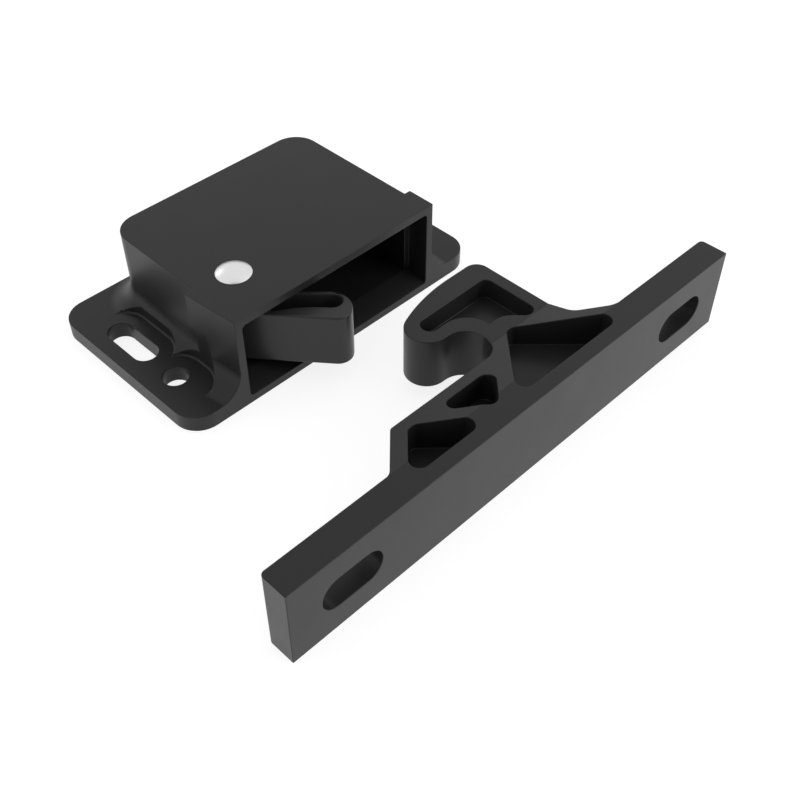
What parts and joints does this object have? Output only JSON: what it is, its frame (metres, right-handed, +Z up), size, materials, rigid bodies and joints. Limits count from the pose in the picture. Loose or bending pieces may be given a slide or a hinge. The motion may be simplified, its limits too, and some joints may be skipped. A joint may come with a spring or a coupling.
{
  "type": "grabber catch",
  "caption": "Surface-mounted grabber catch with a swinging pawl on a rivet, and its separate slotted keeper bar with a ribbed hook.",
  "frame": {"origin": "midway between the two round screw holes of the housing's ears, on the base plane", "axes": "+X along the housing's length, +Y into the housing away from the mouth, +Z up off the base; the keeper lies at -Y and faces +Y"},
  "size_m": [0.1054, 0.086, 0.0207],
  "materials": {
    "black_plastic": "fine satin moulded surface",
    "rivet_metal": "bright satin",
    "spring_steel": "drawn wire"
  },
  "bodies": {
    "catch": {"housing": "black_plastic", "rivet": "rivet_metal", "toggle_spring": "spring_steel", "keeper": "black_plastic"},
    "pawl": {"pawl": "black_plastic"}
  },
  "joints": [
    {"name": "pawl_pivot", "type": "hinge", "parent": "catch", "child": "pawl", "pos_m": [-0.0153, -0.00155, 0.0098], "axis": [0, 0, 1], "range_deg": [0, 50], "deforming": ["toggle_spring"]}
  ]
}
